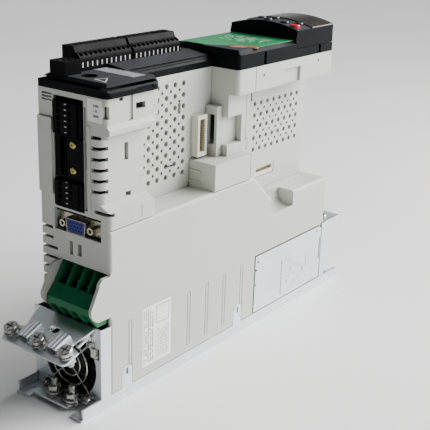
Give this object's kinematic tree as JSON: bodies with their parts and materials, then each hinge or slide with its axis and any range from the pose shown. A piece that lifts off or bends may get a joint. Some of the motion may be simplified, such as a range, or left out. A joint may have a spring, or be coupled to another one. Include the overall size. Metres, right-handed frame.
{
  "type": "servo drive",
  "caption": "Book-format servo drive on a steel base plate, with a cooling fan, plug-in terminals, two option bays and a clip-on keypad.",
  "frame": {"origin": "centre of the underside of the steel base plate", "axes": "+X along the drive from the fan end to the keypad end, +Z out of the front of the drive away from the mounting plane, -Y out of the option bays"},
  "size_m": [0.335, 0.062, 0.2343],
  "materials": {
    "zinc_steel": "zinc plated sheet, satin",
    "screw_steel": "bright plated",
    "sink_alu": "extruded, plain",
    "fan_plastic": "matt",
    "clip_plastic": "matt",
    "case_plastic": "fine spark-eroded texture",
    "green_plastic": "satin",
    "blue_plastic": "satin",
    "nickel": "nickel plated, worn",
    "brass": "bright",
    "terminal_plastic": "satin",
    "cover_plastic": "fine texture",
    "label_green": "printed film, satin",
    "label_copper": "metallic film",
    "label_silver": "printed film",
    "label_white": "paper film",
    "cream_plastic": "matt",
    "board_green": "solder mask",
    "capacitor_sleeve": "sleeve",
    "copper_wire": "enamelled wire",
    "lens_smoke": "glossy",
    "key_rubber": "satin",
    "key_red": "satin"
  },
  "bodies": {
    "chassis": {"base_plate": "zinc_steel", "fan_bulkhead": "zinc_steel", "end_bracket": "zinc_steel", "top_fixing_tab": "zinc_steel", "chassis_screws": "screw_steel", "heatsink": "sink_alu", "fan_frame": "fan_plastic", "finger_guard": "screw_steel", "fan_screws": "screw_steel", "bulkhead_clip": "clip_plastic", "shield_bracket": "zinc_steel", "cable_saddles": "zinc_steel", "clamp_screws": "screw_steel", "earth_studs": "screw_steel", "earth_nuts": "screw_steel", "lower_housing": "case_plastic", "side_cover_plate": "zinc_steel", "upper_housing": "case_plastic", "power_header": "green_plastic", "dsub_shell": "nickel", "dsub_insert": "blue_plastic", "dsub_jackscrews": "nickel", "relay_header": "terminal_plastic", "brass_screws": "brass", "terminal_cover": "cover_plastic", "cover_screw": "screw_steel", "keypad_cover": "cover_plastic", "front_label": "label_green", "badge_inlay": "label_copper", "strip_label": "label_silver", "stickers": "label_white", "control_headers": "terminal_plastic", "small_header": "terminal_plastic", "bay_connector": "cream_plastic", "bay_connector_top": "cream_plastic", "control_board": "board_green", "power_board": "board_green", "dc_capacitors": "capacitor_sleeve", "power_module": "fan_plastic", "input_choke": "copper_wire"},
    "fan": {"fan_rotor": "fan_plastic"},
    "power_plug_body": {"power_plug": "green_plastic", "power_plug_screws": "screw_steel"},
    "relay_upper_body": {"relay_plug_upper": "terminal_plastic"},
    "relay_lower_body": {"relay_plug_lower": "terminal_plastic"},
    "control_a_body": {"control_plug_a": "terminal_plastic", "control_screws_a": "screw_steel"},
    "control_b_body": {"control_plug_b": "terminal_plastic", "control_screws_b": "screw_steel"},
    "small_plug_body": {"small_plug": "terminal_plastic"},
    "keypad": {"keypad_body": "cover_plastic", "keypad_lens": "lens_smoke", "keypad_board": "board_green"},
    "key_mode_body": {"key_mode": "key_rubber"},
    "key_up_body": {"key_up": "key_rubber"},
    "key_down_body": {"key_down": "key_rubber"},
    "key_enter_body": {"key_enter": "key_rubber"},
    "key_run_body": {"key_run": "key_rubber"},
    "key_stop_body": {"key_stop": "key_red"}
  },
  "joints": [
    {"name": "fan_spin", "type": "hinge", "parent": "chassis", "child": "fan", "pos_m": [-0.135, -0.0026, 0.0274], "axis": [1, 0, 0], "continuous": true},
    {"name": "power_plug_pull", "type": "slide", "parent": "chassis", "child": "power_plug_body", "axis": [-1, 0, 0], "range_m": [0, 0.02]},
    {"name": "relay_upper_pull", "type": "slide", "parent": "chassis", "child": "relay_upper_body", "axis": [-1, 0, 0], "range_m": [0, 0.012]},
    {"name": "relay_lower_pull", "type": "slide", "parent": "chassis", "child": "relay_lower_body", "axis": [-1, 0, 0], "range_m": [0, 0.012]},
    {"name": "control_a_pull", "type": "slide", "parent": "chassis", "child": "control_a_body", "axis": [0, 0, 1], "range_m": [0, 0.015]},
    {"name": "control_b_pull", "type": "slide", "parent": "chassis", "child": "control_b_body", "axis": [0, 0, 1], "range_m": [0, 0.015]},
    {"name": "small_plug_pull", "type": "slide", "parent": "chassis", "child": "small_plug_body", "axis": [0, 0, 1], "range_m": [0, 0.012]},
    {"name": "keypad_lift", "type": "slide", "parent": "chassis", "child": "keypad", "axis": [0, 0, 1], "range_m": [0, 0.02]},
    {"name": "key_mode_press", "type": "slide", "parent": "keypad", "child": "key_mode_body", "axis": [0, 0, -1], "range_m": [0, 0.001], "stiffness_N_per_m": 300},
    {"name": "key_up_press", "type": "slide", "parent": "keypad", "child": "key_up_body", "axis": [0, 0, -1], "range_m": [0, 0.001], "stiffness_N_per_m": 300},
    {"name": "key_down_press", "type": "slide", "parent": "keypad", "child": "key_down_body", "axis": [0, 0, -1], "range_m": [0, 0.001], "stiffness_N_per_m": 300},
    {"name": "key_enter_press", "type": "slide", "parent": "keypad", "child": "key_enter_body", "axis": [0, 0, -1], "range_m": [0, 0.001], "stiffness_N_per_m": 300},
    {"name": "key_run_press", "type": "slide", "parent": "keypad", "child": "key_run_body", "axis": [0, 0, -1], "range_m": [0, 0.001], "stiffness_N_per_m": 300},
    {"name": "key_stop_press", "type": "slide", "parent": "keypad", "child": "key_stop_body", "axis": [0, 0, -1], "range_m": [0, 0.001], "stiffness_N_per_m": 300}
  ]
}
